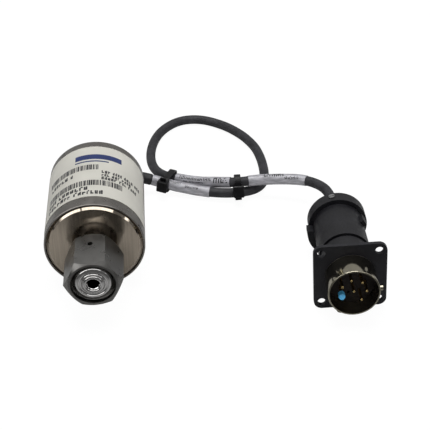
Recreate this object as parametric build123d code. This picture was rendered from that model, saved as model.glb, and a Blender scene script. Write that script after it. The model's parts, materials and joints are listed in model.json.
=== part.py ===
from build123d import *
import math
import os

os.makedirs("parts", exist_ok=True)

# A vacuum pressure switch lying on its side: a steel can with a face seal port, and a short signal
# cable, tied in a loop, that ends in a round bayonet connector with a square flange.
# Millimetres. X is across the can, +Y along it from port to cable, +Z up from the floor.

# Can
can_d = 38.1
can_length = 44.45
can_wall = 0.6
can_edge = 0.15
label_front = 5.3
label_length = 35.2
label_thickness = 0.14
label_gap = 0.03
label_start_deg = 11.0
label_end_deg = 214.0

# Port: gland and coupling nut
nose_length = 23.6
gland_collar_r = 6.9
gland_collar_length = 3.6
gland_taper = 0.9
gland_neck_r = 4.5
gland_bore_r = 2.15
gland_bore_edge = 0.25
gland_fit = 0.05
gland_face_round = 1.2
gland_groove_ring_r = 4.85
gland_groove_r = 0.8
gland_groove_rise = 0.25
bead_r = 0.75
bead_ring_r = 3.2
bead_seat = 0.65
bead_root = 0.2
weld_fillet = 0.9
nut_flats = 19.05
nut_length = 19.4
nut_setback = 0.15
nut_collar_r = 8.8
nut_collar_length = 0.4
nut_collar_round = 0.3
nut_mouth_r = 8.3
nut_mouth_depth = 2.0
nut_thread_r = 7.1
nut_thread_depth = 14.0
nut_neck_clearance = 0.25
nut_front_face_r = 9.1
nut_chamfer = 1.7
nut_rear_chamfer = 2.6
nut_corner_spare = 0.1
nut_turn_deg = 5.0
leak_hole_r = 1.0
leak_hole_back = 12.3

# Front plate and sensing cell
plate_gap = 0.15
plate_length = 4.6
plate_chamfer = 1.4
plate_proud = 0.2
plate_pocket_r = 14.0
plate_pocket_depth = 1.4
cell_step = 1.7
cell_wall = 1.7
cell_length = 8.6
baffle_r = 7.0
baffle_thickness = 0.4
baffle_lift = 0.6
baffle_foot_count = 3
baffle_foot_r = 0.7
baffle_foot_inset = 1.0
baffle_hole_count = 8
baffle_hole_r = 0.6
baffle_hole_inset = 2.6
diaphragm_lift = 1.2
diaphragm_clearance = 0.02
diaphragm_thickness = 0.15
diaphragm_gap = 0.15
electrode_thickness = 3.2
electrode_clearance = 0.25
electrode_hole_r = 1.6
electrode_vent_r = 1.0
electrode_vent_inset = 2.5
ring_spring_thickness = 0.6
ring_spring_width = 1.6
cover_thickness = 1.1
cover_skirt_clearance = 0.1
cover_skirt_width = 1.3
pinch_tube_r = 1.6
pinch_tube_wall = 0.5
pinch_tube_length = 5.5
pinch_tube_flat = (4.16, 0.7)
pinch_tube_x = -6.0
getter_r = 3.4
getter_height = 1.8
getter_x = 6.2
pin_count = 3
pin_ring_r = 2.6
pin_r = 0.4
pin_front_gap = 0.1
pin_proud = 0.8
glass_r = 1.2
glass_gap = 0.02

# Electronics
board_clearance = 1.25
board_hole_clearance = 0.1
board_thickness = 1.6
signal_board_gap = 6.2
relay_board_gap = 6.2
post_count = 3
post_inset = 3.6
post_r = 1.9
post_screw_r = 1.0
post_first_deg = 30.0
relay_size = (12.0, 5.4, 9.0)
relay_place = (-7.5, -3.0)
relay_round = 0.4
trimmer_size = (6.2, 3.6, 6.2)
trimmer_screw_r = 1.1
trimmer_screw_length = 0.8
trimmer_slot = (0.6, 0.4)
trimmer_post_gap = 1.178
trimmer_height = 5.2
capacitor_r = 2.0
capacitor_length = 3.8
capacitor_places = [(9.0, 0.5), (9.0, -5.5)]
chip_size = (7.0, 1.6, 5.0)
chip_places = [(-5.0, 5.2), (7.5, -3.5)]

# Rear cap
cap_thickness = 2.4
cap_clearance = 0.12
cap_inset = 0.5
cap_edge = 0.3
cap_screw_head_r = 1.9
cap_screw_head_height = 1.1
cap_screw_round = 0.35
cap_screw_slot = (1.0, 0.5)
access_hole_r = 1.7
plug_flange_r = 2.3
plug_flange_thickness = 0.5
plug_clearance = 0.06
plug_stem_inset = 0.3

# Cable, its sleeves and its ties
cable_d = 4.2
cable_exit_x = 6.0
cable_exit_z = 12.0
relief_r = 3.9
relief_tip_r = 2.75
relief_length = 6.0
relief_wall = 0.6
relief_fit = 0.08
cable_clearance = 0.15
lead_r = 0.45
lead_count = 6
lead_ring_r = 1.25
lead_gather_r = 1.5
sleeve_wall = 0.17
sleeve_clearance = 0.06
boot_wall = 0.28
boot_setback = 0.3
boot_end = 31.0
sleeve_near = (31.2, 57.2)
sleeve_middle = (223.0, 248.0)
sleeve_far = (255.6, 281.0)
tie_wall = 0.8
tie_width = 2.6
tie_clearance = 0.4
tie_head = (3.6, 5.0, 4.6)
tie_head_sink = 0.5
tie_head_edge = 0.35
tie_tail = (0.9, 1.4, 2.4)
tie_left_at = (38.0, 220.8)
tie_left_head = (180.0, -1.3)
tie_right_at = (69.5, 251.5)
tie_right_head = (90.0, -1.0)

# Connector: bayonet receptacle on a square flange, with its backshell
flange_side = 27.2
flange_thickness = 1.6
flange_corner_r = 3.1
flange_hole_r = 1.525
flange_hole_pitch = 21.3
barrel_r = 9.6
barrel_length = 10.97
barrel_bore_r = 9.0
barrel_mouth_round = 0.3
stud_r = 1.0
stud_proud = 1.1
stud_root = 0.5
stud_setback = 2.6
stud_angles = (0.0, 120.0, 240.0)
key_angles = (90.0, 142.0, 195.0, 293.0, 325.0)
key_width = 1.5
key_depth = 0.25
key_setback = 3.0
shell_rear_r = 8.7
shell_rear_wall = 1.1
shell_rear_bore_r = shell_rear_r - shell_rear_wall
shell_rear_length = 10.4
insert_clearance = 0.06
insert_face = 2.6
insert_length = 11.0
insert_flange_thickness = 0.8
contact_count = 7
contact_ring_r = 4.75
contact_first_deg = -1.7
contact_r = 0.5
contact_tip = 10.0
contact_tip_round = 0.3
contact_cap_index = 4
contact_empty_index = 5
contact_rear = 3.0
contact_clearance = 0.03
cap_sleeve_r = 1.25
cap_sleeve_root = 7.7
cap_sleeve_proud = 0.4
cap_sleeve_clearance = 0.04
cap_sleeve_end_gap = 0.1
cap_sleeve_round = 0.6
ring_nut_wall = 0.6
ring_nut_r = shell_rear_r + ring_nut_wall
ring_nut_setback = 0.3
ring_nut_length = 12.0
ring_nut_clearance = 0.05
ring_nut_edge = 0.35
seam_gap = 0.4
backshell_step = 0.6
backshell_r = ring_nut_r + backshell_step
backshell_bore_r = shell_rear_bore_r
backshell_end = 41.8
backshell_neck_step = 1.3
backshell_neck_r = backshell_r - backshell_neck_step
backshell_throat_r = 5.5
backshell_throat_length = 3.0
spigot_clearance = 0.1
lug_size = (3.4, 4.6, 2.6)
lug_sink = 2.0
lug_setback = 12.5
lug_turn_deg = 33.0
clamp_step = 1.7
clamp_r = backshell_r + clamp_step
clamp_length = 5.6
clamp_gap = 0.15
clamp_span_deg = (-22.0, 188.0)
clamp_lower_step = 0.2
clamp_lower_r = clamp_r + clamp_lower_step
clamp_lower_shift = (-0.8, 0.05)
clamp_lower_forward = 5.8
clamp_lower_length = 4.8
clamp_lower_span_deg = (175.0, 338.0)
clamp_screw_r = 0.7
clamp_screw_head_r = 1.25
clamp_screw_head_height = 1.0
clamp_screw_sink = 0.4
clamp_screw_clearance = 0.1
clamp_screw_length = 2.0
clamp_screw_slot = (0.5, 0.7)
clamp_screw_deg = 100.0
grommet_length = 5.0
grommet_proud = 0.9
grommet_clearance = 0.1
grommet_round = 0.5
cable_run_in_length = 9.0
floor_clearance = 0.03

# Where the connector's flange lies, and how it is turned on the floor
connector_x = 94.3
connector_y = -29.0
connector_yaw_deg = -2.0
connector_spin_deg = 3.2

# Derived places along the can
can_r = can_d / 2
can_front = (nose_length - can_length) / 2
can_rear = can_front + can_length
port_face = can_front - nose_length
tube_bore_r = can_r - can_wall
plate_r = tube_bore_r - plate_gap
cell_r = plate_r - cell_step
board_r = tube_bore_r - board_clearance
post_ring_r = board_r - post_inset
trimmer_offset = (post_ring_r * math.cos(math.radians(post_first_deg)) - post_r
                  - trimmer_size[0] / 2 - trimmer_post_gap)
plate_front = can_front - plate_proud
plate_rear = plate_front + plate_length
cell_rear = plate_rear + cell_length
cover_rear = cell_rear + cover_thickness
signal_board_front = cover_rear + signal_board_gap
signal_board_rear = signal_board_front + board_thickness
relay_board_front = signal_board_rear + relay_board_gap
relay_board_rear = relay_board_front + board_thickness
cap_rear = can_rear - cap_inset
cap_front = cap_rear - cap_thickness
cap_r = tube_bore_r - cap_clearance
cable_r = cable_d / 2
nut_front = port_face + nut_setback
nut_rear = nut_front + nut_length


def prism(sketch, y_front, y_rear):
    """A solid with the sketch's outline in X and Z, between two places along Y."""
    plane = Plane(origin=(0, y_rear, 0), x_dir=(1, 0, 0), z_dir=(0, -1, 0))
    return extrude(plane * sketch, amount=y_rear - y_front)


def disc(radius, y_front, y_rear, x=0.0, z=0.0):
    return prism(Pos(x, z) * Circle(radius), y_front, y_rear)


def ring(outer_r, inner_r, y_front, y_rear, x=0.0, z=0.0):
    return disc(outer_r, y_front, y_rear, x, z) - disc(inner_r, y_front - 1, y_rear + 1, x, z)


def turned(points):
    """A solid turned about Y from a closed profile of radius and place along Y."""
    return revolve(make_face(Polyline(*points, close=True)), Axis.Y)


def rims(solid, radius, y):
    """The round edges of one radius at one place along Y."""
    circles = solid.edges().filter_by(GeomType.CIRCLE)
    return [e for e in circles if abs(e.radius - radius) < 0.01 and abs(e.arc_center.Y - y) < 0.01]


def around(count, ring_r, first_deg=0.0):
    """X and Z of places evenly spaced on a circle, counter-clockwise seen from the front."""
    turns = [math.radians(first_deg + 360.0 * i / count) for i in range(count)]
    return [(ring_r * math.cos(t), ring_r * math.sin(t)) for t in turns]


def group(solids):
    return Compound(list(solids))


def sector(outer_r, inner_r, start_deg, end_deg, y_front, y_rear):
    """A ring cut to the part between two angles, counter-clockwise seen from the front."""
    reach = outer_r * 3
    steps = max(2, math.ceil((end_deg - start_deg) / 60.0))
    turns = [math.radians(start_deg + (end_deg - start_deg) * i / steps) for i in range(steps + 1)]
    fan = Polyline((0, 0), *[(reach * math.cos(t), reach * math.sin(t)) for t in turns], close=True)
    return ring(outer_r, inner_r, y_front, y_rear) & prism(make_face(fan), y_front - 1, y_rear + 1)


# Can, built about its own axis and lifted onto the floor at the end

def make_case_tube():
    tube = ring(can_r, tube_bore_r, can_front, can_rear)
    return chamfer(rims(tube, can_r, can_front) + rims(tube, can_r, can_rear), can_edge)


def make_label():
    inner = can_r + label_gap
    front = can_front + label_front
    return sector(inner + label_thickness, inner, label_start_deg, label_end_deg, front, front + label_length)


def make_front_plate():
    plate = disc(plate_r, plate_front, plate_rear)
    plate = chamfer(rims(plate, plate_r, plate_front), plate_chamfer)
    plate -= disc(gland_neck_r + gland_fit, plate_front - 1, plate_rear + 1)
    plate -= disc(plate_pocket_r, plate_rear - plate_pocket_depth, plate_rear + 1)
    return plate


def make_gland():
    face = port_face + bead_seat
    collar_end = port_face + gland_collar_length
    neck = collar_end + gland_taper
    weld = plate_front
    tail = plate_rear - plate_pocket_depth
    body = turned([
        (gland_bore_r, face, 0), (gland_collar_r, face, 0), (gland_collar_r, collar_end, 0),
        (gland_neck_r, neck, 0), (gland_neck_r, weld - weld_fillet, 0),
        (gland_neck_r + weld_fillet, weld, 0), (gland_neck_r, weld, 0),
        (gland_neck_r, tail, 0), (gland_bore_r, tail, 0),
    ])
    body = fillet(rims(body, gland_collar_r, face), gland_face_round)
    body -= Pos(0, face - gland_groove_rise, 0) * Rot(X=90) * Torus(gland_groove_ring_r, gland_groove_r)
    bead = Pos(0, face, 0) * Rot(X=90) * Torus(bead_ring_r, bead_r)
    body += bead & disc(gland_collar_r, port_face - 1, face + bead_root)
    return chamfer(rims(body, gland_bore_r, face), gland_bore_edge)


def make_coupling_nut():
    hex_rear = nut_rear - nut_collar_length
    hexagon = Rot(Z=nut_turn_deg) * RegularPolygon(nut_flats / 2, 6, major_radius=False)
    corner_r = nut_flats / math.sqrt(3) + nut_corner_spare
    body = prism(hexagon, nut_front, hex_rear)
    body &= turned([
        (0, nut_front, 0), (nut_front_face_r, nut_front, 0), (corner_r, nut_front + nut_chamfer, 0),
        (corner_r, hex_rear - nut_rear_chamfer, 0), (nut_collar_r, hex_rear, 0), (0, hex_rear, 0),
    ])
    collar = disc(nut_collar_r, hex_rear, nut_rear)
    body += fillet(rims(collar, nut_collar_r, nut_rear), nut_collar_round)
    lead_in = nut_mouth_r - nut_thread_r
    mouth = nut_front + nut_mouth_depth
    body -= turned([
        (0, nut_front - 1, 0), (nut_mouth_r, nut_front - 1, 0), (nut_mouth_r, mouth, 0),
        (nut_thread_r, mouth + lead_in, 0), (nut_thread_r, nut_front + nut_thread_depth, 0),
        (0, nut_front + nut_thread_depth, 0),
    ])
    body -= disc(gland_neck_r + nut_neck_clearance, nut_front, nut_rear + 1)
    drill = Pos(0, nut_front + leak_hole_back, 0) * Cylinder(leak_hole_r, nut_flats)
    drill = Rot(Y=-nut_turn_deg) * (Pos(0, 0, nut_flats / 2) * drill)
    return body - drill


def make_inlet_baffle():
    front = plate_rear - plate_pocket_depth + baffle_lift
    plate = disc(baffle_r, front, front + baffle_thickness)
    for x, z in around(baffle_foot_count, baffle_r - baffle_foot_inset):
        plate += disc(baffle_foot_r, front - baffle_lift, front, x, z)
    half_step = 180.0 / baffle_hole_count
    for x, z in around(baffle_hole_count, baffle_r - baffle_hole_inset, half_step):
        plate -= disc(baffle_hole_r, front - 1, front + 1, x, z)
    return plate


def make_cell_ring():
    return ring(cell_r, cell_r - cell_wall, plate_rear, cell_rear)


def make_diaphragm():
    front = plate_rear + diaphragm_lift
    return disc(cell_r - cell_wall - diaphragm_clearance, front, front + diaphragm_thickness)


electrode_front = plate_rear + diaphragm_lift + diaphragm_thickness + diaphragm_gap
electrode_rear = electrode_front + electrode_thickness


def make_electrode_disc():
    radius = cell_r - cell_wall - electrode_clearance
    plate = ring(radius, electrode_hole_r, electrode_front, electrode_rear)
    for x, z in around(2, radius - electrode_vent_inset, 90):
        plate -= disc(electrode_vent_r, electrode_front - 1, electrode_rear + 1, x, z)
    return plate


def make_ring_spring():
    outer = cell_r - cell_wall - electrode_clearance
    return ring(outer, outer - ring_spring_width, electrode_rear, electrode_rear + ring_spring_thickness)


def pin_places():
    return around(pin_count, pin_ring_r, 90)


def make_reference_cover():
    """A welded lid with a skirt on the ring spring, a getter, and holes for beads and pinched tube."""
    rim = ring(cell_r, cell_r - cell_wall, cell_rear, cover_rear)
    lid_front = cell_rear
    lid = disc(cell_r, lid_front, cover_rear)
    stop = electrode_rear + ring_spring_thickness
    skirt_r = cell_r - cell_wall - cover_skirt_clearance
    lid += ring(skirt_r, skirt_r - cover_skirt_width, stop, lid_front)
    lid += disc(getter_r, cover_rear, cover_rear + getter_height, getter_x)
    for x, z in pin_places():
        lid -= disc(glass_r, lid_front - 1, cover_rear + 1, x, z)
    lid -= disc(pinch_tube_r, lid_front - 1, cover_rear + 1, pinch_tube_x)
    return lid + rim


def make_pinch_tube():
    """A soft metal tube, closed by being squeezed flat at its end."""
    round_end = cover_rear + pinch_tube_length * 0.5
    tip = cover_rear + pinch_tube_length
    tube = ring(pinch_tube_r, pinch_tube_r - pinch_tube_wall, cell_rear, round_end, pinch_tube_x)
    base = Plane(origin=(pinch_tube_x, round_end, 0), x_dir=(1, 0, 0), z_dir=(0, 1, 0))
    flat = Plane(origin=(pinch_tube_x, tip, 0), x_dir=(1, 0, 0), z_dir=(0, 1, 0))
    squeezed = loft([base * Circle(pinch_tube_r), flat * Rectangle(*pinch_tube_flat)])
    return tube + squeezed


def make_glass_beads():
    outer = glass_r - glass_gap
    inner = pin_r + glass_gap
    beads = [ring(outer, inner, cell_rear, cover_rear, x, z) for x, z in pin_places()]
    return group(beads)


def make_feedthrough_pins():
    front = electrode_rear + pin_front_gap
    rear = signal_board_rear + pin_proud
    return group([disc(pin_r, front, rear, x, z) for x, z in pin_places()])


def post_places():
    return around(post_count, post_ring_r, post_first_deg)


def make_board(front, extra_holes):
    board = disc(board_r, front, front + board_thickness)
    for x, z in post_places():
        board -= disc(post_screw_r + board_hole_clearance, front - 1, front + board_thickness + 1, x, z)
    for x, z, radius in extra_holes:
        board -= disc(radius, front - 1, front + board_thickness + 1, x, z)
    return board


def make_signal_board():
    return make_board(signal_board_front, [(x, z, pin_r + board_hole_clearance) for x, z in pin_places()])


def make_relay_board():
    return make_board(relay_board_front, [])


def make_board_posts():
    spans = [(cover_rear, signal_board_front), (signal_board_rear, relay_board_front),
             (relay_board_rear, cap_front)]
    posts = []
    for front, rear in spans:
        posts += [disc(post_r, front, rear, x, z) for x, z in post_places()]
    return group(posts)


def make_post_studs():
    """One thin stud through each stack of posts, from the cell's lid to the rear cap."""
    studs = []
    for x, z in post_places():
        studs.append(disc(post_screw_r, signal_board_front, signal_board_rear, x, z))
        studs.append(disc(post_screw_r, relay_board_front, relay_board_rear, x, z))
    return group(studs)


def block(size, x, y_front, z):
    """A box by its size across X, along Y and up Z, with its front face at one place along Y."""
    return Pos(x, y_front + size[1] / 2, z) * Box(*size)


def make_relay():
    x, z = relay_place
    relay = block(relay_size, x, relay_board_front - relay_size[1], z)
    return fillet(relay.edges().filter_by(Axis.Y), relay_round)


def trimmer_places():
    return [(-trimmer_offset, trimmer_height), (trimmer_offset, trimmer_height)]


def make_trimmers():
    """Two set point potentiometers whose brass screws face the access holes in the cap."""
    bodies = []
    for x, z in trimmer_places():
        body = block(trimmer_size, x, relay_board_rear, z)
        front = relay_board_rear + trimmer_size[1]
        screw = disc(trimmer_screw_r, front, front + trimmer_screw_length, x, z)
        screw -= Pos(x, front + trimmer_screw_length, z) * Box(trimmer_screw_r * 3, *trimmer_slot)
        bodies.append(body + screw)
    return group(bodies)


def make_capacitors():
    front = relay_board_front - capacitor_length
    return group([disc(capacitor_r, front, relay_board_front, x, z) for x, z in capacitor_places])


def make_chips():
    return group([block(chip_size, x, signal_board_rear, z) for x, z in chip_places])


def make_rear_cap():
    cap = disc(cap_r, cap_front, cap_rear)
    cap = chamfer(rims(cap, cap_r, cap_rear), cap_edge)
    for x, z in post_places():
        cap -= disc(post_screw_r + 0.1, cap_front - 1, cap_rear + 1, x, z)
    for x, z in trimmer_places():
        cap -= disc(access_hole_r, cap_front - 1, cap_rear + 1, x, z)
    cap -= disc(relief_r - relief_wall, cap_front - 1, cap_rear + 1, cable_exit_x, cable_exit_z - can_r)
    return cap


def make_cap_screws():
    screws = []
    for x, z in post_places():
        head = disc(cap_screw_head_r, cap_rear, cap_rear + cap_screw_head_height, x, z)
        head = fillet(rims(head, cap_screw_head_r, cap_rear + cap_screw_head_height), cap_screw_round)
        slot = Pos(x, cap_rear + cap_screw_head_height, z) * Box(cap_screw_head_r * 3, *cap_screw_slot)
        shank = disc(post_screw_r, cap_front, cap_rear, x, z)
        screws.append(head - slot + shank)
    return group(screws)


def make_adjuster_plugs():
    plugs = []
    for x, z in trimmer_places():
        flange = disc(plug_flange_r, cap_rear, cap_rear + plug_flange_thickness, x, z)
        stem = disc(access_hole_r - plug_clearance, cap_front + plug_stem_inset, cap_rear, x, z)
        plugs.append(flange + stem)
    return group(plugs)


# Connector, built with its flange's front face at the origin and its barrel towards -Y

def tilt_on_floor():
    """Turn and height at which the flange's lowest corner and the lower clamp both meet the floor."""
    spin = math.radians(connector_spin_deg)
    square = flange_side / 2 - flange_corner_r
    flange_drop = square * (math.cos(spin) + math.sin(spin)) + flange_corner_r
    sideways, raised = clamp_lower_shift
    clamp_drop = clamp_lower_r - sideways * math.sin(spin) - raised * math.cos(spin)
    run = backshell_end - clamp_lower_forward - flange_thickness
    tilt = math.atan2(flange_drop - clamp_drop, run)
    height = flange_thickness * math.sin(tilt) + flange_drop * math.cos(tilt) + floor_clearance
    return math.degrees(tilt), height


def connector_place():
    tilt_deg, height = tilt_on_floor()
    turn = Rot(Z=connector_yaw_deg) * Rot(X=-tilt_deg) * Rot(Y=-connector_spin_deg)
    return Pos(connector_x, connector_y, height) * turn


def make_receptacle_shell():
    plate = RectangleRounded(flange_side, flange_side, flange_corner_r)
    shell = prism(plate, 0, flange_thickness)
    half = flange_hole_pitch / 2
    for x in (-half, half):
        for z in (-half, half):
            shell -= disc(flange_hole_r, -1, flange_thickness + 1, x, z)
    barrel = disc(barrel_r, -barrel_length, 0)
    barrel = fillet(rims(barrel, barrel_r, -barrel_length), barrel_mouth_round)
    shell += barrel
    shell += disc(shell_rear_r, flange_thickness, shell_rear_length)
    shell -= disc(barrel_bore_r, -barrel_length - 1, -insert_face)
    shell -= disc(shell_rear_bore_r, -barrel_length, shell_rear_length + 1)
    key_front = -barrel_length + key_setback
    for angle in key_angles:
        slot = Pos(barrel_bore_r, (key_front - insert_face) / 2, 0) * Box(
            key_depth * 2, -insert_face - key_front, key_width)
        shell -= Rot(Y=-angle) * slot
    reach = stud_proud + stud_root
    for angle in stud_angles:
        stud = Pos(barrel_r + stud_proud - reach / 2, -barrel_length + stud_setback, 0) * (
            Rot(Y=90) * Cylinder(stud_r, reach))
        shell += Rot(Y=-angle) * stud
    return shell


def contact_places():
    places = around(contact_count, contact_ring_r, contact_first_deg)
    return places + [(0.0, 0.0)]


def fitted_contacts():
    return [p for i, p in enumerate(contact_places()) if i != contact_empty_index]


def make_pin_insert():
    insert = disc(shell_rear_bore_r - insert_clearance, -insert_face, insert_length - insert_face)
    front = -insert_face - insert_flange_thickness
    insert += disc(barrel_bore_r - insert_clearance, front, -insert_face)
    for x, z in contact_places():
        insert -= disc(contact_r + contact_clearance, -insert_face - 2, insert_length, x, z)
    return insert


def make_contact_pins():
    pins = []
    for x, z in fitted_contacts():
        pin = disc(contact_r, -contact_tip, insert_length - insert_face + contact_rear, x, z)
        pins.append(fillet(rims(pin, contact_r, -contact_tip), contact_tip_round))
    return group(pins)


def make_blue_pin_cap():
    x, z = contact_places()[contact_cap_index]
    front = -contact_tip - cap_sleeve_proud
    cap = disc(cap_sleeve_r, front, -cap_sleeve_root, x, z)
    cap = fillet(rims(cap, cap_sleeve_r, front), cap_sleeve_round)
    return cap - disc(contact_r + cap_sleeve_clearance, -contact_tip - cap_sleeve_end_gap, 0, x, z)


def make_ring_nut():
    front = flange_thickness + ring_nut_setback
    nut = ring(ring_nut_r, shell_rear_r + ring_nut_clearance, front, front + ring_nut_length)
    return chamfer(rims(nut, ring_nut_r, front + ring_nut_length), ring_nut_edge)


backshell_front = flange_thickness + ring_nut_setback + ring_nut_length + seam_gap


def make_backshell_body():
    front = backshell_front
    body = turned([
        (backshell_bore_r, front, 0), (backshell_r, front, 0), (backshell_r, backshell_end - clamp_length, 0),
        (backshell_neck_r, backshell_end - clamp_length, 0), (backshell_neck_r, backshell_end, 0),
        (backshell_throat_r, backshell_end, 0),
        (backshell_throat_r, backshell_end - backshell_throat_length, 0),
        (backshell_bore_r, backshell_end - clamp_length - backshell_throat_length, 0),
    ])
    spigot_front = shell_rear_length + spigot_clearance
    spigot = ring(shell_rear_r - spigot_clearance, backshell_bore_r, spigot_front, front + 0.1)
    body += spigot
    lug = Pos(backshell_r + lug_size[0] / 2 - lug_sink, backshell_end - lug_setback, 0) * Box(*lug_size)
    body += Rot(Y=-lug_turn_deg) * lug
    return body


def at_clamp_screw(solid):
    """Moves a solid drawn upright on the Z axis to the clamp screw's place."""
    middle = backshell_end - clamp_length / 2
    return Rot(Y=90 - clamp_screw_deg) * (Pos(0, middle, 0) * solid)


def upright(radius, low, high):
    return Pos(0, 0, (low + high) / 2) * Cylinder(radius, high - low)


def clamp_screw_cut(radius, low, high):
    return at_clamp_screw(upright(radius + clamp_screw_clearance, low, high))


def make_clamp_upper():
    rear = backshell_end
    inner = backshell_neck_r + clamp_gap
    arc = sector(clamp_r, inner, *clamp_span_deg, rear - clamp_length, rear)
    pocket = clamp_screw_cut(clamp_screw_head_r, clamp_r - clamp_screw_sink, clamp_r + 1)
    return arc - pocket - clamp_screw_cut(clamp_screw_r, inner - 1, clamp_r)


def make_clamp_lower():
    rear = backshell_end - clamp_lower_forward
    front = rear - clamp_lower_length
    inner = backshell_r + clamp_gap
    arc = sector(clamp_lower_r, 1.0, *clamp_lower_span_deg, front, rear)
    arc = Pos(clamp_lower_shift[0], 0, clamp_lower_shift[1]) * arc
    return arc - disc(inner, front - 1, rear + 1)


def make_clamp_screw():
    foot = clamp_r - clamp_screw_sink
    top = foot + clamp_screw_head_height
    head = upright(clamp_screw_head_r, foot, top)
    slot = Pos(0, 0, top) * Box(clamp_screw_head_r * 3, *clamp_screw_slot)
    return at_clamp_screw(head - slot + upright(clamp_screw_r, foot - clamp_screw_length, foot))


def make_rear_grommet():
    """A rubber bush in the backshell's neck, with the cable's end in it."""
    radius = backshell_throat_r - grommet_clearance
    rear = backshell_end + grommet_proud
    grommet = disc(radius, rear - grommet_length, rear)
    return fillet(rims(grommet, radius, rear), grommet_round)


# Cable route. Points chosen along the cable, from the rear cap to the back of the connector.

cable_end = (connector_place() * Pos(0, backshell_end + grommet_proud, 0)).position
cable_run_in = (connector_place() * Pos(0, backshell_end + grommet_proud + cable_run_in_length, 0)).position
cable_route = [
    (cable_exit_x, cap_rear, cable_exit_z), (cable_exit_x, 41.0, cable_exit_z),
    (8.6, 48.8, 10.8), (14.4, 53.4, 8.6), (22.4, 53.9, 6.0), (30.3, 52.0, 4.1),
    (39.0, 49.0, 3.5), (48.0, 45.9, 3.4), (57.0, 44.7, 3.6), (64.6, 46.6, 3.1),
    (70.0, 51.8, 2.3), (72.1, 59.8, 2.2), (72.1, 71.2, 2.2), (70.3, 84.0, 2.2),
    (64.5, 96.2, 2.2), (55.7, 105.9, 2.2), (45.4, 111.4, 2.2), (35.9, 110.1, 2.2),
    (28.1, 102.5, 2.2), (23.6, 91.8, 2.2), (21.9, 80.6, 2.2), (22.7, 69.6, 2.5),
    (26.4, 61.0, 3.6), (34.0, 56.6, 4.0), (42.8, 53.4, 4.2), (50.7, 50.1, 5.9),
    (59.0, 46.7, 7.7), (68.2, 47.6, 8.1), (77.2, 46.3, 8.9), (86.2, 43.9, 9.8),
    (92.4, 38.9, 10.6), (95.8, 31.6, 11.2), tuple(cable_run_in), tuple(cable_end),
]


def fillet_radii(points):
    """One arc radius for each inner point: 0.45 of its shorter run over the tangent of half the turn."""
    radii = []
    for before, here, after in zip(points, points[1:], points[2:]):
        run_in = Vector(*here) - Vector(*before)
        run_out = Vector(*after) - Vector(*here)
        half_turn = math.radians(run_in.get_angle(run_out)) / 2
        radii.append(0.45 * min(run_in.length, run_out.length) / math.tan(half_turn))
    return radii


cable_radii = fillet_radii(cable_route)
cable_wire = Wire(FilletPolyline(*cable_route, radius=cable_radii).edges())


def along_cable(distance):
    """The point and the direction of the cable's centre line at one distance from its start."""
    share = distance / cable_wire.length
    return cable_wire @ share, cable_wire % share


def cable_tube(start, end, outer_r, inner_r=0.0):
    """A round tube along the cable between two distances from its start."""
    piece = cable_wire.trim(start / cable_wire.length, end / cable_wire.length)
    section = Circle(outer_r)
    if inner_r > 0:
        section -= Circle(inner_r)
    return sweep(Plane(origin=piece @ 0, z_dir=piece % 0) * section, path=piece)


def make_cable():
    return cable_tube(0, cable_wire.length, cable_r)


def make_strain_relief():
    """A soft cone on the rear cap round the cable, with a stem through the cap's hole."""
    bore = cable_r + cable_clearance
    stem = relief_r - relief_wall - relief_fit
    cone = turned([
        (bore, cap_front, 0), (stem, cap_front, 0), (stem, cap_rear, 0), (relief_r, cap_rear, 0),
        (relief_tip_r, cap_rear + relief_length, 0), (bore, cap_rear + relief_length, 0),
    ])
    return Pos(cable_exit_x, 0, cable_exit_z) * cone


def make_cable_boot():
    inner = cable_r + sleeve_clearance
    return cable_tube(relief_length + boot_setback, boot_end, inner + boot_wall, inner)


def make_sleeve(span):
    inner = cable_r + sleeve_clearance
    return cable_tube(*span, inner + sleeve_wall, inner)


def make_tie(at, strand_r, head_at):
    """A strap round two strands of the cable, with its head by the first strand and a cut tail.

    The head's place is its direction from the first strand's centre, and its shift along the strap.
    """
    first, first_way = along_cable(at[0])
    second, second_way = along_cable(at[1])
    way = (first_way + second_way).normalized()
    across = second - first
    across -= way * across.dot(way)
    middle = (first + second) * 0.5 - way * (tie_width / 2)
    plane = Plane(origin=middle, x_dir=across, z_dir=way)
    inner_r = strand_r + tie_clearance
    outer_r = inner_r + tie_wall
    strap = extrude(plane * SlotCenterToCenter(across.length, outer_r * 2), amount=tie_width)
    opening = extrude(plane * SlotCenterToCenter(across.length, inner_r * 2), amount=tie_width * 3, both=True)
    reach = outer_r - tie_head_sink + tie_head[0] / 2
    head = chamfer(Box(*tie_head).edges(), tie_head_edge)
    tail = Pos(0, -(tie_head[1] + tie_tail[1]) / 2, 0) * Box(*tie_tail)
    turn_deg, shift = head_at
    lock = Rot(Z=turn_deg) * (Pos(reach, shift, tie_width / 2) * (head + tail))
    lock = plane.location * (Pos(-across.length / 2, 0, 0) * lock)
    return strap + lock - opening


def make_lead_wires():
    """Insulated leads from the relay board to the end of the cable in the rear cap."""
    x, z = cable_exit_x, cable_exit_z
    return group([disc(lead_r, relay_board_rear, cap_rear, x + dx, z + dz)
                  for dx, dz in around(lead_count, lead_ring_r)])


def make_connector_leads():
    """Leads from the rear ends of the pins, drawn together at the front of the grommet."""
    front = insert_length - insert_face + contact_rear
    rear = backshell_end + grommet_proud - grommet_length
    gather = lead_gather_r / contact_ring_r
    leads = []
    for x, z in fitted_contacts():
        start = Plane(origin=(x, front, z), x_dir=(1, 0, 0), z_dir=(0, 1, 0))
        end = Plane(origin=(x * gather, rear, z * gather), x_dir=(1, 0, 0), z_dir=(0, 1, 0))
        leads.append(loft([start * Circle(lead_r), end * Circle(lead_r)]))
    return group(leads)


# Gather the nodes

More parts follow.
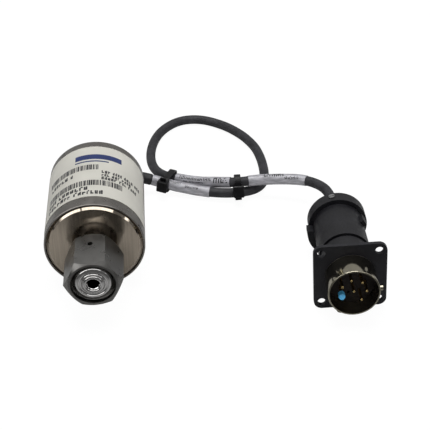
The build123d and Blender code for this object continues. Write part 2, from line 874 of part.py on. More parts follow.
axis_up = Pos(0, 0, can_r)
sensor_nodes = {
    "case_tube": make_case_tube(),
    "label": make_label(),
    "front_plate": make_front_plate(),
    "gland": make_gland(),
    "coupling_nut": make_coupling_nut(),
    "inlet_baffle": make_inlet_baffle(),
    "cell_ring": make_cell_ring(),
    "diaphragm": make_diaphragm(),
    "electrode_disc": make_electrode_disc(),
    "ring_spring": make_ring_spring(),
    "reference_cover": make_reference_cover(),
    "pinch_tube": make_pinch_tube(),
    "glass_beads": make_glass_beads(),
    "feedthrough_pins": make_feedthrough_pins(),
    "signal_board": make_signal_board(),
    "relay_board": make_relay_board(),
    "board_posts": make_board_posts(),
    "post_studs": make_post_studs(),
    "relay": make_relay(),
    "trimmers": make_trimmers(),
    "capacitors": make_capacitors(),
    "chips": make_chips(),
    "rear_cap": make_rear_cap(),
    "cap_screws": make_cap_screws(),
    "adjuster_plugs": make_adjuster_plugs(),
}
connector_nodes = {
    "receptacle_shell": make_receptacle_shell(),
    "pin_insert": make_pin_insert(),
    "contact_pins": make_contact_pins(),
    "blue_pin_cap": make_blue_pin_cap(),
    "ring_nut": make_ring_nut(),
    "backshell_body": make_backshell_body(),
    "clamp_upper": make_clamp_upper(),
    "clamp_lower": make_clamp_lower(),
    "clamp_screw": make_clamp_screw(),
    "rear_grommet": make_rear_grommet(),
    "connector_leads": make_connector_leads(),
}
bare_r = cable_r
sleeved_r = cable_r + sleeve_clearance + sleeve_wall
cord_nodes = {
    "cable": make_cable(),
    "strain_relief": make_strain_relief(),
    "cable_boot": make_cable_boot(),
    "marker_sleeve_near": make_sleeve(sleeve_near),
    "marker_sleeve_middle": make_sleeve(sleeve_middle),
    "marker_sleeve_far": make_sleeve(sleeve_far),
    "cable_tie_left": make_tie(tie_left_at, sleeved_r, tie_left_head),
    "cable_tie_right": make_tie(tie_right_at, bare_r, tie_right_head),
    "lead_wires": make_lead_wires(),
}
parts = {name: axis_up * solid for name, solid in sensor_nodes.items()}
parts.update({name: connector_place() * solid for name, solid in connector_nodes.items()})
parts.update(cord_nodes)

for name, solid in parts.items():
    export_step(solid, f"parts/{name}.step")
    print(name, round(solid.volume, 1))
print("cable length", round(cable_wire.length, 2))
print("cable radii", [round(radius, 1) for radius in cable_radii])
print("cable section times length", round(math.pi * cable_r ** 2 * cable_wire.length, 1))
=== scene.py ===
"""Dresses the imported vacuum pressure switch: finishes, label, cable, sleeves, ties, connector and studio."""
import json
import math

import bmesh
import bpy
import numpy as np
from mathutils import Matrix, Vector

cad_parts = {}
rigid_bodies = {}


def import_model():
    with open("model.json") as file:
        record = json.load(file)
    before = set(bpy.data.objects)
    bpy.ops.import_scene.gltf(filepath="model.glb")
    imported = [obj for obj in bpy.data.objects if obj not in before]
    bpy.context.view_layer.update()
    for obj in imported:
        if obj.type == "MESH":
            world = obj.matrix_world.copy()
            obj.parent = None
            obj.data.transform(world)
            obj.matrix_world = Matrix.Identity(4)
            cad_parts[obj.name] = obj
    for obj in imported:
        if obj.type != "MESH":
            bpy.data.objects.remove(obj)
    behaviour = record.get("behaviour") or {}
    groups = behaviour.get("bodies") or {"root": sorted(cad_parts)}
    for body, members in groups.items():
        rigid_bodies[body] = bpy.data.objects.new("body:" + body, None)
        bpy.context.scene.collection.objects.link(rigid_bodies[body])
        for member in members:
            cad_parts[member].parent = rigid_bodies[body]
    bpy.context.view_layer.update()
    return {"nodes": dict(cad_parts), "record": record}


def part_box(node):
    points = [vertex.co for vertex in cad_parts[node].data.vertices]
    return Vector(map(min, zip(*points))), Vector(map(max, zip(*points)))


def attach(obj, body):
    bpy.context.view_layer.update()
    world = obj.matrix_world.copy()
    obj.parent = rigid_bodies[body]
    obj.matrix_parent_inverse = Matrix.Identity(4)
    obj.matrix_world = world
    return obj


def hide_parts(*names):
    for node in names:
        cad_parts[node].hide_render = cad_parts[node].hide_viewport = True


bl_info = {
    "name": "Vacuum Pressure Switch",
    "version": (1, 0, 0),
    "blender": (4, 5, 0),
    "location": "View3D > Sidebar > Pressure Switch",
    "description": "Finishes, label, cable and studio for a vacuum pressure switch",
    "category": "Object",
}

for old in list(bpy.data.objects):
    bpy.data.objects.remove(old)

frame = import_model()

MM = 0.001
SENSOR = "sensor"
NUT = "coupling_nut"

# Places taken from the frame
can_low, can_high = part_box("case_tube")
CAN_R = (can_high.x - can_low.x) / 2
CAN_Z = (can_high.z + can_low.z) / 2
CAN_FRONT = can_low.y
label_low, label_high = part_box("label")
LABEL_R = -label_low.x
FILM_R = LABEL_R - 0.03 * MM
PLATE_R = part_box("front_plate")[1].x
CAP_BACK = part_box("rear_cap")[1].y
NUT_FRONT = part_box("coupling_nut")[0].y
flange_mount = next(m for m in frame["record"]["mounts"] if m["name"] == "connector_flange")
FLANGE_AT = np.array(flange_mount["pos_m"])
FLANGE_AHEAD = np.array(flange_mount["axis"])

# Cable route: points chosen along the cable, from the rear cap to the back of the connector, in metres
CABLE_ROUTE = [
    (0.0060, 0.033525, 0.0120), (0.0060, 0.0410, 0.0120), (0.0086, 0.0488, 0.0108),
    (0.0144, 0.0534, 0.0086), (0.0224, 0.0539, 0.0060), (0.0303, 0.0520, 0.0041),
    (0.0390, 0.0490, 0.0035), (0.0480, 0.0459, 0.0034), (0.0570, 0.0447, 0.0036),
    (0.0646, 0.0466, 0.0031), (0.0700, 0.0518, 0.0023), (0.0721, 0.0598, 0.0022),
    (0.0721, 0.0712, 0.0022), (0.0703, 0.0840, 0.0022), (0.0645, 0.0962, 0.0022),
    (0.0557, 0.1059, 0.0022), (0.0454, 0.1114, 0.0022), (0.0359, 0.1101, 0.0022),
    (0.0281, 0.1025, 0.0022), (0.0236, 0.0918, 0.0022), (0.0219, 0.0806, 0.0022),
    (0.0227, 0.0696, 0.0025), (0.0264, 0.0610, 0.0036), (0.0340, 0.0566, 0.0040),
    (0.0428, 0.0534, 0.0042), (0.0507, 0.0501, 0.0059), (0.0590, 0.0467, 0.0077),
    (0.0682, 0.0476, 0.0081), (0.0772, 0.0463, 0.0089), (0.0862, 0.0439, 0.0098),
    (0.0924, 0.0389, 0.0106), (0.0958, 0.0316, 0.0112), (0.096100, 0.022546, 0.010715),
    (0.095787, 0.013573, 0.011335),
]


# Print on the label: first and last angle round the can, and near and far edge in mm behind its front
# rim. The lines end with the size of their strokes in degrees.
HEADING = [(112.0, 56.0, 31.2, 34.6), (112.0, 72.0, 29.3, 30.1)]
BAR_ROWS = [(150.0, 84.0, 23.7, 27.2), (150.0, 55.0, 12.8, 16.3)]
PRINT_LINES = [
    (147.0, 113.0, 20.2, 22.4, 1.6), (80.0, 28.0, 21.4, 23.3, 1.25), (80.0, 44.0, 19.2, 21.0, 1.25),
    (80.0, 34.0, 17.0, 18.8, 1.25), (150.0, 91.0, 9.9, 12.1, 1.8), (150.0, 79.0, 6.9, 9.2, 1.8),
]

# Where the boot and the sleeves lie along the cable: metres, and millimetres for the sleeves
BOOT_SPAN = (6.3 * MM, 31.0 * MM)
SLEEVE_SPANS = {"marker_sleeve_near": (31.2, 57.2), "marker_sleeve_middle": (223.0, 248.0),
                "marker_sleeve_far": (255.6, 281.0)}

# Lines of print on the sleeves: start and end along the cable in mm, low and high angle, stroke in mm
SLEEVE_LINES = [
    (37.0, 44.5, 62.0, 95.0, 0.26), (46.5, 52.0, 40.0, 66.0, 0.22), (225.0, 239.5, 42.0, 78.0, 0.34),
    (227.0, 236.0, 14.0, 32.0, 0.22), (240.8, 246.6, 22.0, 84.0, 0.52), (262.5, 271.0, 62.0, 104.0, 0.42),
    (271.6, 277.5, 36.0, 66.0, 0.30),
]


# Settings a user would change

class StudioSettings(bpy.types.PropertyGroup):
    camera_place: bpy.props.FloatVectorProperty(
        name="Camera place", description="Where the camera stands", subtype="TRANSLATION",
        unit="LENGTH", default=(0.02341, -0.34131, 0.26428))
    camera_turn: bpy.props.FloatVectorProperty(
        name="Camera turn", description="The camera's rotation", subtype="EULER",
        default=(math.radians(54.907), 0.0, math.radians(-3.801)))
    focal_length: bpy.props.FloatProperty(
        name="Focal length", description="Lens of the camera, in millimetres on a 36 mm sensor",
        default=91.13, min=1.0)
    key_power: bpy.props.FloatProperty(
        name="Key power", description="Power of the overhead panel", unit="POWER", default=3.4, min=0.0)
    side_power: bpy.props.FloatProperty(
        name="Side power", description="Power of the right panel; the left one has about a third",
        unit="POWER", default=0.5, min=0.0)
    fill_power: bpy.props.FloatProperty(
        name="Fill power", description="Power of the weak panel in front", unit="POWER",
        default=0.45, min=0.0)
    room_light: bpy.props.FloatProperty(
        name="Room light", description="Strength of the light from all round", default=0.30, min=0.0)
    band_light: bpy.props.FloatProperty(
        name="Band light", description="Strength of the broken band of light seen in polished metal",
        default=2.1, min=0.0)


class CanSettings(bpy.types.PropertyGroup):
    tube_colour: bpy.props.FloatVectorProperty(
        name="Tube colour", description="Colour of the drawn can", subtype="COLOR",
        default=(0.30, 0.285, 0.265), min=0.0, max=1.0)
    plate_colour: bpy.props.FloatVectorProperty(
        name="Plate colour", description="Colour of the polished front plate", subtype="COLOR",
        default=(0.54, 0.47, 0.385), min=0.0, max=1.0)
    nut_colour: bpy.props.FloatVectorProperty(
        name="Nut colour", description="Colour of the coupling nut", subtype="COLOR",
        default=(0.24, 0.235, 0.225), min=0.0, max=1.0)
    gland_colour: bpy.props.FloatVectorProperty(
        name="Gland colour", description="Colour of the polished gland", subtype="COLOR",
        default=(0.72, 0.71, 0.70), min=0.0, max=1.0)


class LabelSettings(bpy.types.PropertyGroup):
    film_colour: bpy.props.FloatVectorProperty(
        name="Film colour", description="Colour of the label's film", subtype="COLOR",
        default=(0.70, 0.685, 0.62), min=0.0, max=1.0)
    ink_colour: bpy.props.FloatVectorProperty(
        name="Ink colour", description="Colour of the small print", subtype="COLOR",
        default=(0.012, 0.012, 0.016), min=0.0, max=1.0)
    band_colour: bpy.props.FloatVectorProperty(
        name="Band colour", description="Colour of the heading band", subtype="COLOR",
        default=(0.012, 0.030, 0.14), min=0.0, max=1.0)


class CordSettings(bpy.types.PropertyGroup):
    diameter: bpy.props.FloatProperty(
        name="Diameter", description="Outer diameter of the cable", subtype="DISTANCE", unit="LENGTH",
        default=4.2 * MM, min=0.5 * MM)
    jacket_colour: bpy.props.FloatVectorProperty(
        name="Jacket colour", description="Colour of the cable's jacket", subtype="COLOR",
        default=(0.038, 0.038, 0.042), min=0.0, max=1.0)
    sleeve_colour: bpy.props.FloatVectorProperty(
        name="Sleeve colour", description="Colour of the marker sleeves", subtype="COLOR",
        default=(0.44, 0.435, 0.47), min=0.0, max=1.0)


class ConnectorSettings(bpy.types.PropertyGroup):
    body_colour: bpy.props.FloatVectorProperty(
        name="Body colour", description="Colour of the black finish", subtype="COLOR",
        default=(0.009, 0.009, 0.0115), min=0.0, max=1.0)
    barrel_colour: bpy.props.FloatVectorProperty(
        name="Barrel colour", description="Colour of the plated barrel", subtype="COLOR",
        default=(0.45, 0.42, 0.33), min=0.0, max=1.0)
    pin_colour: bpy.props.FloatVectorProperty(
        name="Pin colour", description="Colour of the contact pins", subtype="COLOR",
        default=(0.75, 0.55, 0.24), min=0.0, max=1.0)


# Mesh helpers

def grid_quads(rows, columns, wrap_rows=False, wrap_columns=False):
    """Quads between the points of a grid, as (row, column) pairs of their four corners, unwrapped."""
    spans = np.arange(rows - (not wrap_rows)), np.arange(columns - (not wrap_columns))
    i, j = np.meshgrid(*spans, indexing="ij")
    corners = [(i, j), (i, j + 1), (i + 1, j + 1), (i + 1, j)]
    return np.stack([np.stack(c, axis=-1) for c in corners], axis=-2).reshape(-1, 4, 2)


def surface_mesh(name, points, wrap_rows=False, wrap_columns=False, sharp_deg=35.0):
    """A mesh from a grid of points, with its grid places as a UV map. Doubled points at poles are merged."""
    rows, columns = points.shape[:2]
    pairs = grid_quads(rows, columns, wrap_rows, wrap_columns)
    quads = (pairs[..., 0] % rows) * columns + pairs[..., 1] % columns
    mesh = bpy.data.meshes.new(name)
    mesh.from_pydata(points.reshape(-1, 3).tolist(), [], quads.tolist())
    layer = mesh.uv_layers.new(name="UVMap")
    uv = pairs / np.array([max(rows - (not wrap_rows), 1), max(columns - (not wrap_columns), 1)])
    layer.data.foreach_set("uv", uv.reshape(-1).astype(np.float32))
    finish_mesh(mesh, sharp_deg)
    return mesh


def finish_mesh(mesh, sharp_deg):
    """Merges doubled points, drops faces without area, turns faces outwards and shades the mesh smooth."""
    work = bmesh.new()
    work.from_mesh(mesh)
    bmesh.ops.remove_doubles(work, verts=work.verts, dist=1e-7)
    bmesh.ops.dissolve_degenerate(work, edges=work.edges, dist=1e-8)
    bmesh.ops.recalc_face_normals(work, faces=work.faces)
    work.to_mesh(mesh)
    work.free()
    mesh.shade_smooth()
    mesh.set_sharp_from_angle(angle=math.radians(sharp_deg))
    mesh.update()


def piece(name, mesh, material, body=SENSOR):
    """An object for a finished mesh, riding on a body, with its material and material slot."""
    obj = bpy.data.objects.new(name, mesh)
    bpy.context.scene.collection.objects.link(obj)
    mesh.materials.append(material)
    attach(obj, body)
    return obj


def capped(points):
    """The grid with one more row at each end, drawn together to the middle of the row beside it."""
    first = np.broadcast_to(points[0].mean(axis=0), points[0].shape)
    last = np.broadcast_to(points[-1].mean(axis=0), points[-1].shape)
    return np.concatenate([first[None], points, last[None]])


def turned(profile, steps, centre=(0.0, CAN_Z)):
    """Points (r cos t + cx, y, r sin t + cz) of a profile of radius and place along Y, for steps angles t."""
    angle = np.linspace(0, 2 * np.pi, steps, endpoint=False)[:, None]
    radius, along = np.asarray(profile, float).T
    x = centre[0] + radius * np.cos(angle)
    z = centre[1] + radius * np.sin(angle)
    return np.stack([x, np.broadcast_to(along, x.shape), z], axis=-1)


# Print: thin closed slabs of ink that follow a surface

def ink_mesh(name, marks, surface, lift, steps=7):
    """Slabs between the angles a0 to a1 and lengths s0 to s1 of each mark, at surface(a, s, lift)."""
    a0, a1, s0, s1 = np.asarray(marks, float).T
    share = np.linspace(0, 1, steps)
    angle = a0[:, None] + (a1 - a0)[:, None] * share
    angle = np.broadcast_to(angle[..., None], (*angle.shape, 4))
    length = np.broadcast_to(np.stack([s0, s0, s1, s1], axis=-1)[:, None], angle.shape)
    raised = np.broadcast_to(np.array([-0.3, 1.0, 1.0, -0.3]) * lift, angle.shape)
    points = surface(angle, length, raised)
    pairs = grid_quads(steps, 4, wrap_columns=True)
    side = pairs[..., 0] * 4 + pairs[..., 1] % 4
    ends = np.array([[3, 2, 1, 0], [0, 1, 2, 3]]) + np.array([[0], [(steps - 1) * 4]])
    faces = np.concatenate([side, ends])
    offsets = np.arange(len(a0))[:, None, None] * steps * 4
    mesh = bpy.data.meshes.new(name)
    mesh.from_pydata(points.reshape(-1, 3).tolist(), [], (faces + offsets).reshape(-1, 4).tolist())
    finish_mesh(mesh, 35.0)
    return mesh


def can_surface(angle_deg, along_mm, lift):
    """A point of the label: x = R cos a, z = c + R sin a, at a length behind the can's front rim."""
    radius = FILM_R + lift
    angle = np.radians(angle_deg)
    along = CAN_FRONT + along_mm * MM
    return np.stack([radius * np.cos(angle), along, CAN_Z + radius * np.sin(angle)], axis=-1)


def bar_row(draw, a_start, a_end, low, high):
    """A row of uneven bars between two angles, from the left, each bar and gap one to three units wide."""
    marks = []
    place = a_start
    unit = 0.66
    while place > a_end:
        width = unit * draw.choice([1, 1, 1, 2, 2, 3])
        gap = unit * draw.choice([0.8, 0.8, 1.0, 1.8])
        marks.append((place, max(place - width, a_end), low, high))
        place -= width + gap
    return marks


def dash_line(draw, a_start, a_end, low, high, unit=1.0):
    """A line of small strokes in groups, like lettering too small to read."""
    marks = []
    place = a_start
    height = high - low
    while place > a_end:
        for _ in range(int(draw.integers(3, 8))):
            if place <= a_end:
                break
            width = unit * draw.uniform(1.6, 2.4)
            stroke = 0.46 * width
            marks.append((place, place - stroke, low, low + height * draw.uniform(0.7, 1.0)))
            level = low + height * draw.choice([0.0, 0.4, 0.75])
            marks.append((place - stroke, place - width, level, level + height * 0.36))
            if draw.random() < 0.5:
                marks.append((place - width + stroke, place - width, low, high))
            place -= width + unit * 0.75
        place -= unit * 1.8
    return marks


# Material helpers

def add(tree, kind, inputs=None, **settings):
    """A new node with its settings, and its inputs set to values or linked to sockets."""
    node = tree.nodes.new(kind)
    for key, value in settings.items():
        setattr(node, key, value)
    for key, value in (inputs or {}).items():
        if isinstance(value, bpy.types.NodeSocket):
            tree.links.new(value, node.inputs[key])
        else:
            node.inputs[key].default_value = value
    return node


def maths(tree, operation, *values):
    """One sum on numbers or sockets."""
    return add(tree, "ShaderNodeMath", dict(enumerate(values)), operation=operation).outputs[0]


def span(tree, value, low, high, to_low=0.0, to_high=1.0):
    """A value carried from one range to another and held inside it."""
    ends = {"From Min": low, "From Max": high, "To Min": to_low, "To Max": to_high}
    return add(tree, "ShaderNodeMapRange", {"Value": value, **ends}).outputs["Result"]


def split(tree, vector):
    """The three parts of a vector."""
    parts = add(tree, "ShaderNodeSeparateXYZ", {"Vector": vector})
    return [parts.outputs[axis] for axis in "XYZ"]


def new_group(name, inputs, outputs):
    """A shader node group with named number and vector sockets, and its input and output nodes."""
    group = bpy.data.node_groups.new(name, "ShaderNodeTree")
    for label, value in inputs.items():
        kind = "NodeSocketVector" if value is None else "NodeSocketFloat"
        socket = group.interface.new_socket(name=label, in_out="INPUT", socket_type=kind)
        if value is not None:
            socket.default_value = value
    for label in outputs:
        group.interface.new_socket(name=label, in_out="OUTPUT", socket_type="NodeSocketFloat")
    return group, group.nodes.new("NodeGroupInput"), group.nodes.new("NodeGroupOutput")


def drift_group():
    """Slow cloudy change over a surface, between two values."""
    sockets = {"Vector": None, "Scale": 60.0, "Low": 0.0, "High": 1.0}
    group, given, out = new_group("Slow Drift", sockets, ["Value"])
    noise = add(group, "ShaderNodeTexNoise", {
        "Vector": given.outputs["Vector"], "Scale": given.outputs["Scale"], "Detail": 3.0, "Roughness": 0.55})
    change = add(group, "ShaderNodeMapRange", {
        "Value": noise.outputs["Fac"], "From Min": 0.32, "From Max": 0.68,
        "To Min": given.outputs["Low"], "To Max": given.outputs["High"]}, interpolation_type="SMOOTHSTEP")
    group.links.new(change.outputs["Result"], out.inputs["Value"])
    return group


def grain_group():
    """Fine even grain of a moulded, painted or printed surface."""
    group, given, out = new_group("Fine Grain", {"Vector": None, "Scale": 3000.0}, ["Height"])
    noise = add(group, "ShaderNodeTexNoise", {
        "Vector": given.outputs["Vector"], "Scale": given.outputs["Scale"], "Detail": 4.0, "Roughness": 0.6})
    group.links.new(noise.outputs["Fac"], out.inputs["Height"])
    return group


def lathe_group():
    """Turning marks round the Y axis: noise of the radius and the place along the axis alone."""
    group, given, out = new_group("Turning Marks", {"Vector": None, "Density": 9000.0}, ["Height"])
    x, y, z = split(group, given.outputs["Vector"])
    radius = maths(group, "SQRT", maths(group, "MULTIPLY_ADD", x, x, maths(group, "MULTIPLY", z, z)))
    across = maths(group, "MULTIPLY", radius, given.outputs["Density"])
    along = maths(group, "MULTIPLY", y, given.outputs["Density"])
    angle = maths(group, "MULTIPLY", maths(group, "ARCTAN2", z, x), 0.35)
    spot = add(group, "ShaderNodeCombineXYZ", {"X": across, "Y": along, "Z": angle})
    noise = add(group, "ShaderNodeTexNoise", {"Vector": spot.outputs[0], "Scale": 1.0, "Detail": 2.0})
    group.links.new(noise.outputs["Fac"], out.inputs["Height"])
    return group


def rub_group():
    """Short bright rub marks from handling, as a mask that is mostly nothing."""
    group, given, out = new_group("Rub Marks", {"Vector": None, "Scale": 90.0, "Amount": 0.5}, ["Mask"])
    stretch = add(group, "ShaderNodeMapping", {
        "Vector": given.outputs["Vector"], "Scale": (1.0, 7.0, 1.6), "Rotation": (0.3, 0.2, 0.5)})
    streaks = add(group, "ShaderNodeTexNoise", {
        "Vector": stretch.outputs[0], "Scale": given.outputs["Scale"], "Detail": 5.0, "Roughness": 0.7})
    mask = span(group, streaks.outputs["Fac"], 0.60, 0.78, 0.0, given.outputs["Amount"])
    group.links.new(mask, out.inputs["Mask"])
    return group


GROUP_MAKERS = {"drift": drift_group, "grain": grain_group, "lathe": lathe_group, "rub": rub_group}
GROUPS = {}


def placed(tree, kind, inputs):
    """The output of a shared group placed in a material, with its inputs set to values or linked."""
    if kind not in GROUPS:
        GROUPS[kind] = GROUP_MAKERS[kind]()
    return add(tree, "ShaderNodeGroup", inputs, node_tree=GROUPS[kind]).outputs[0]


def plain(name, colour, roughness, metallic=0.0, sockets=None):
    """A material with its Principled shader's own sockets set."""
    material = bpy.data.materials.new(name)
    material.use_nodes = True
    shader = material.node_tree.nodes["Principled BSDF"]
    shader.inputs["Base Color"].default_value = (*colour, 1.0)
    shader.inputs["Roughness"].default_value = roughness
    shader.inputs["Metallic"].default_value = metallic
    for key, value in (sockets or {}).items():
        shader.inputs[key].default_value = value
    return material, material.node_tree, shader


def object_place(tree, centre=(0.0, 0.0, 0.0)):
    """Object coordinates, measured from a centre."""
    coordinates = add(tree, "ShaderNodeTexCoord")
    offset = tuple(-float(c) for c in centre)
    mapping = add(tree, "ShaderNodeMapping", {"Vector": coordinates.outputs["Object"], "Location": offset})
    return mapping.outputs["Vector"]


def shades(tree, colour, fac, dark=0.85, light=1.12):
    """A colour that moves between a darker and a lighter tint."""
    low, high = ((*(min(c * share, 1.0) for c in colour), 1.0) for share in (dark, light))
    return add(tree, "ShaderNodeMix", {"Factor": fac, 6: low, 7: high}, data_type="RGBA").outputs[2]


def feed(tree, shader, **sockets):
    """Links outputs to the shader's inputs, whose names are given with _ for a space."""
    for name, output in sockets.items():
        tree.links.new(output, shader.inputs[name.replace("_", " ")])


def relief(tree, shader, height, distance):
    """Bump from a height, as deep as the distance."""
    bump = add(tree, "ShaderNodeBump", {"Height": height, "Distance": distance, "Strength": 1.0})
    feed(tree, shader, Normal=bump.outputs["Normal"])


def dress(tree, shader, place, colour, tone, gloss, grain):
    """Clouded colour, clouded gloss and fine grain.

    The last three are (scale, dark, light), (scale, low, high) and (scale, depth).
    """
    clouds = placed(tree, "drift", {"Vector": place, "Scale": tone[0]})
    sheen = placed(tree, "drift", {"Vector": place, "Scale": gloss[0], "Low": gloss[1], "High": gloss[2]})
    feed(tree, shader, Base_Color=shades(tree, colour, clouds, *tone[1:]), Roughness=sheen)
    relief(tree, shader, placed(tree, "grain", {"Vector": place, "Scale": grain[0]}), grain[1])


def machined(name, colour, roughness, centre, marks=0.0006 * MM, density=9000.0, spread=0.08):
    """Turned or drawn metal: marks round its axis, slow changes of tone and gloss, and a few rub marks."""
    material, tree, shader = plain(name, colour, roughness, 1.0)
    place = object_place(tree, centre)
    drift = placed(tree, "drift", {"Vector": place, "Scale": 110.0})
    gloss = placed(tree, "drift", {"Vector": place, "Scale": 230.0, "Low": roughness - spread,
                                   "High": roughness + spread})
    rubs = placed(tree, "rub", {"Vector": place, "Amount": spread})
    feed(tree, shader, Base_Color=shades(tree, colour, drift, 0.90, 1.08),
         Roughness=maths(tree, "SUBTRACT", gloss, rubs))
    relief(tree, shader, placed(tree, "lathe", {"Vector": place, "Density": density}), marks)
    return material


def plate_finish(settings):
    """A brushed face with upright streaks, and a bevel round it.

    The bevel is polished in its upper half. In its lower half it is paler and dull, with little metal: painted
    light that brightens it where it would mirror the dark floor.
    """
    colour = tuple(settings.plate_colour)
    material, tree, shader = plain("plate_steel", colour, 0.2, 1.0)
    place = object_place(tree, (0.0, 0.0, CAN_Z))
    streaks = add(tree, "ShaderNodeMapping", {"Vector": place, "Scale": (60.0, 12.0, 1.5)}).outputs["Vector"]
    drift = placed(tree, "drift", {"Vector": streaks, "Scale": 22.0})
    across = add(tree, "ShaderNodeVectorMath", {0: place, 1: (1.0, 0.0, 1.0)}, operation="MULTIPLY")
    radius = add(tree, "ShaderNodeVectorMath", {0: across.outputs[0]}, operation="LENGTH").outputs["Value"]
    bevel = span(tree, radius, PLATE_R - 1.5 * MM, PLATE_R - 1.3 * MM)
    upper = span(tree, split(tree, place)[2], -2.0 * MM, 5.0 * MM)
    polish = maths(tree, "MULTIPLY", bevel, upper)
    # The lower half of the bevel, where light is painted on as a paler, duller, less metallic tone.
    dull = maths(tree, "SUBTRACT", bevel, polish)
    gloss = placed(tree, "drift", {"Vector": streaks, "Scale": 60.0, "Low": 0.15, "High": 0.24})
    both = add(tree, "ShaderNodeMix", {"Factor": polish, 2: gloss, 3: 0.05})
    # Painted light: the paler tone given to the lower bevel.
    pale = (*(0.85 * c for c in colour), 1.0)
    face_tone_with_painted_light = add(tree, "ShaderNodeMix", {
        "Factor": dull, 6: shades(tree, colour, drift, 0.90, 1.09), 7: pale}, data_type="RGBA")
    feed(tree, shader, Base_Color=face_tone_with_painted_light.outputs[2], Metallic=maths(tree, "MULTIPLY_ADD", dull, -0.85, 1.0),
         Roughness=maths(tree, "MULTIPLY_ADD", dull, 0.4, both.outputs[0]))
    relief(tree, shader, placed(tree, "grain", {"Vector": streaks, "Scale": 90.0}), 0.0006 * MM)
    return material


def moulded(name, colour, roughness, grain=0.004 * MM, scale=2500.0, sockets=None):
    """Moulded, painted or dipped surface: fine grain, and slow changes of tone and gloss."""
    material, tree, shader = plain(name, colour, roughness, 0.0, sockets)
    gloss = (320.0, roughness - 0.06, roughness + 0.06)
    dress(tree, shader, object_place(tree), colour, (140.0, 0.85, 1.12), gloss, (scale, grain))
    return material


def two_tone_shell(settings):
    """Black finish on the flange and behind it, bare plating on the barrel in front of it."""
    black = [1.7 * c for c in settings.body_colour]
    dim = {"Specular IOR Level": 0.35}
    material, tree, shader = plain("shell_two_tone", settings.body_colour, 0.42, sockets=dim)
    place = object_place(tree, FLANGE_AT)
    ahead = add(tree, "ShaderNodeVectorMath", {0: place, 1: tuple(FLANGE_AHEAD)}, operation="DOT_PRODUCT")
    bare = span(tree, ahead.outputs["Value"], 0.25 * MM, 0.45 * MM)
    drift = placed(tree, "drift", {"Vector": place, "Scale": 160.0})
    tones = [shades(tree, colour, drift, 0.85, 1.1) for colour in (black, settings.barrel_colour)]
    both = add(tree, "ShaderNodeMix", {"Factor": bare, 6: tones[0], 7: tones[1]}, data_type="RGBA")
    gloss = span(tree, bare, 0.0, 1.0, 0.45, 0.10)
    feed(tree, shader, Base_Color=both.outputs[2], Metallic=bare, Roughness=gloss)
    relief(tree, shader, placed(tree, "grain", {"Vector": place, "Scale": 2600.0}), 0.003 * MM)
    return material


def film_finish(settings):
    """The label's film: a pale satin print stock with a soft grain and faint waves where it was laid on."""
    colour = tuple(settings.film_colour)
    material, tree, shader = plain("label_film", colour, 0.36)
    place = object_place(tree, (0, 0, CAN_Z))
    dress(tree, shader, place, colour, (55.0, 0.95, 1.04), (300.0, 0.33, 0.42), (900.0, 0.006 * MM))
    return material


def jacket_finish(settings):
    """The cable's jacket: dull grey, with clouded tone and gloss and a fine grain."""
    colour = tuple(settings.jacket_colour)
    material, tree, shader = plain("cable_jacket", colour, 0.48, sockets={"Specular IOR Level": 0.25})
    place = object_place(tree)
    dress(tree, shader, place, colour, (210.0, 0.80, 1.25), (700.0, 0.40, 0.56), (1900.0, 0.05 * MM))
    return material


def sleeve_finish(settings):
    """A printed sleeve under clear film: pale, glossy, with creases and darker patches of the jacket."""
    colour = tuple(settings.sleeve_colour)
    coat = {"Coat Weight": 0.5, "Coat Roughness": 0.12}
    material, tree, shader = plain("marker_sleeve", colour, 0.24, 0.0, coat)
    grid = add(tree, "ShaderNodeTexCoord").outputs["UV"]
    place = add(tree, "ShaderNodeMapping", {"Vector": grid, "Scale": (0.9, 1.0, 1.0)}).outputs["Vector"]
    dress(tree, shader, place, colour, (9.0, 0.74, 1.28), (17.0, 0.22, 0.38), (12.0, 0.06 * MM))
    return material


def assign(nodes, material):
    """Puts one material on every slot of the named frame nodes."""
    for name in nodes:
        obj = frame["nodes"][name]
        for slot in obj.material_slots:
            slot.material = material


# Cable line and tubes along it

class CableLine:
    """The cable's smooth line, read from a spline through its route's points."""

    def __init__(self):
        curve = bpy.data.curves.new("cable_line", "CURVE")
        curve.dimensions = "3D"
        curve.resolution_u = 14
        spline = curve.splines.new("NURBS")
        spline.points.add(len(CABLE_ROUTE) - 1)
        spline.points.foreach_set("co", [c for point in CABLE_ROUTE for c in (*point, 1.0)])
        spline.order_u = 3
        spline.use_endpoint_u = True
        line = bpy.data.objects.new("cable_line", curve)
        mesh = bpy.data.meshes.new_from_object(line)
        flat = np.empty(len(mesh.vertices) * 3)
        mesh.vertices.foreach_get("co", flat)
        self.points = flat.reshape(-1, 3)
        bpy.data.objects.remove(line)
        bpy.data.curves.remove(curve)
        bpy.data.meshes.remove(mesh)
        steps = np.linalg.norm(np.diff(self.points, axis=0), axis=1)
        self.distance = np.concatenate([[0.0], np.cumsum(steps)])
        self.length = self.distance[-1]

    def at(self, distance):
        """Points, ways along, ways sideways and ways up at distances from the start."""
        distance = np.asarray(distance, float)
        reach = 0.4 * MM
        centre, before, after = (
            np.stack([np.interp(d, self.distance, self.points[:, k]) for k in range(3)], -1)
            for d in (distance, distance - reach, distance + reach))
        way = after - before
        way /= np.linalg.norm(way, axis=-1, keepdims=True)
        side = np.cross(way, (0.0, 0.0, 1.0))
        side /= np.linalg.norm(side, axis=-1, keepdims=True)
        return centre, way, side, np.cross(side, way)

    def surface(self, radius):
        """A function for points round the line: c(s) + r (cos a side + sin a up), a in degrees, s in mm."""
        def place(angle_deg, along_mm, lift):
            centre, _, side, up = self.at(along_mm * MM)
            angle = np.radians(angle_deg)[..., None]
            reach = (radius + np.asarray(lift))[..., None]
            return centre + reach * (np.cos(angle) * side + np.sin(angle) * up)
        return place


